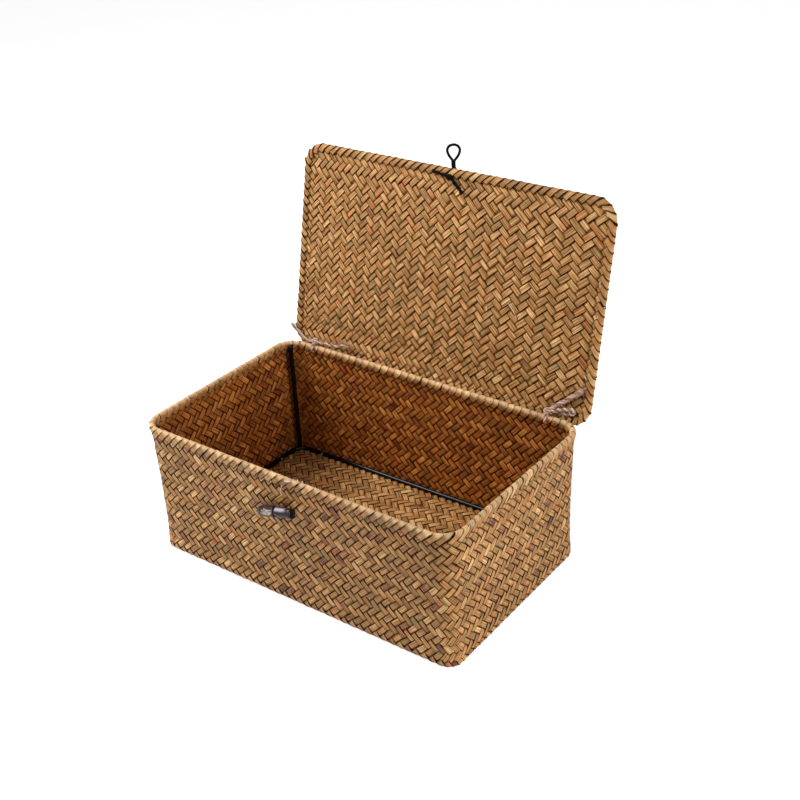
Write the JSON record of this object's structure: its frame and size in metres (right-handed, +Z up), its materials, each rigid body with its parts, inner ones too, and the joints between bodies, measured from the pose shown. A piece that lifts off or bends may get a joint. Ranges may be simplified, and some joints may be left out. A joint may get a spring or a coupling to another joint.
{
  "type": "woven lidded box",
  "caption": "Rectangular box of twill-plaited dried seagrass on a bent wire frame, with a plaited lid tied on along the back, an elastic loop on the lid and a toggle on the front wall",
  "frame": {"origin": "centre of the underside of the woven base, on the surface the box stands on", "axes": "+X along the front from left to right, +Y from the front wall to the back wall, +Z up; the lid stands open"},
  "size_m": [0.3065, 0.2408, 0.3119],
  "materials": {
    "weave": "dried plant strips, matt with a faint sheen",
    "border": "pale folded plant strips, matt with a faint sheen",
    "wire": "gloss black coating",
    "nylon": "clear to white thread",
    "twine": "fuzzy two-strand twine",
    "elastic": "black covered elastic",
    "toggle": "dark horn look, polished"
  },
  "bodies": {
    "basket": {"woven_base": "weave", "woven_wall": "weave", "rim_border": "border", "frame_top_ring": "wire", "frame_foot_ring": "wire", "frame_post_front_left": "wire", "frame_post_front_right": "wire", "frame_post_back_right": "wire", "frame_post_back_left": "wire", "stitch_front_wall_left": "nylon", "stitch_left_wall_front": "nylon", "stitch_front_wall_right": "nylon", "stitch_right_wall_front": "nylon", "stitch_back_wall_right": "nylon", "stitch_right_wall_back": "nylon", "stitch_back_wall_left": "nylon", "stitch_left_wall_back": "nylon"},
    "lid": {"lid_panel": "weave", "lid_border": "border", "lid_ring": "wire", "hinge_tie_left": "twine", "hinge_tie_right": "twine", "tie_left_tail_up": "twine", "tie_left_tail_side": "twine", "tie_right_tail_up": "twine", "tie_right_tail_fold": "twine", "elastic_anchor": "elastic", "elastic_tail_side": "elastic", "elastic_tail_down": "elastic"},
    "closure_loop": {"elastic_loop": "elastic"},
    "toggle": {"toggle": "toggle", "toggle_cord": "elastic"}
  },
  "joints": [
    {"name": "lid_hinge", "type": "hinge", "parent": "basket", "child": "lid", "pos_m": [0, 0.09075, 0.1182], "axis": [1, 0, 0], "range_deg": [0, 102]},
    {"name": "loop_swing", "type": "hinge", "parent": "lid", "child": "closure_loop", "pos_m": [0.0054, 0.13427, 0.2989], "axis": [1, 0, 0], "range_deg": [0, 60], "stiffness_Nm_per_rad": 0.0006},
    {"name": "toggle_swivel", "type": "hinge", "parent": "basket", "child": "toggle", "pos_m": [-0.0058, -0.09644, 0.08965], "axis": [0, 1, 0], "range_deg": [-90, 90]}
  ]
}
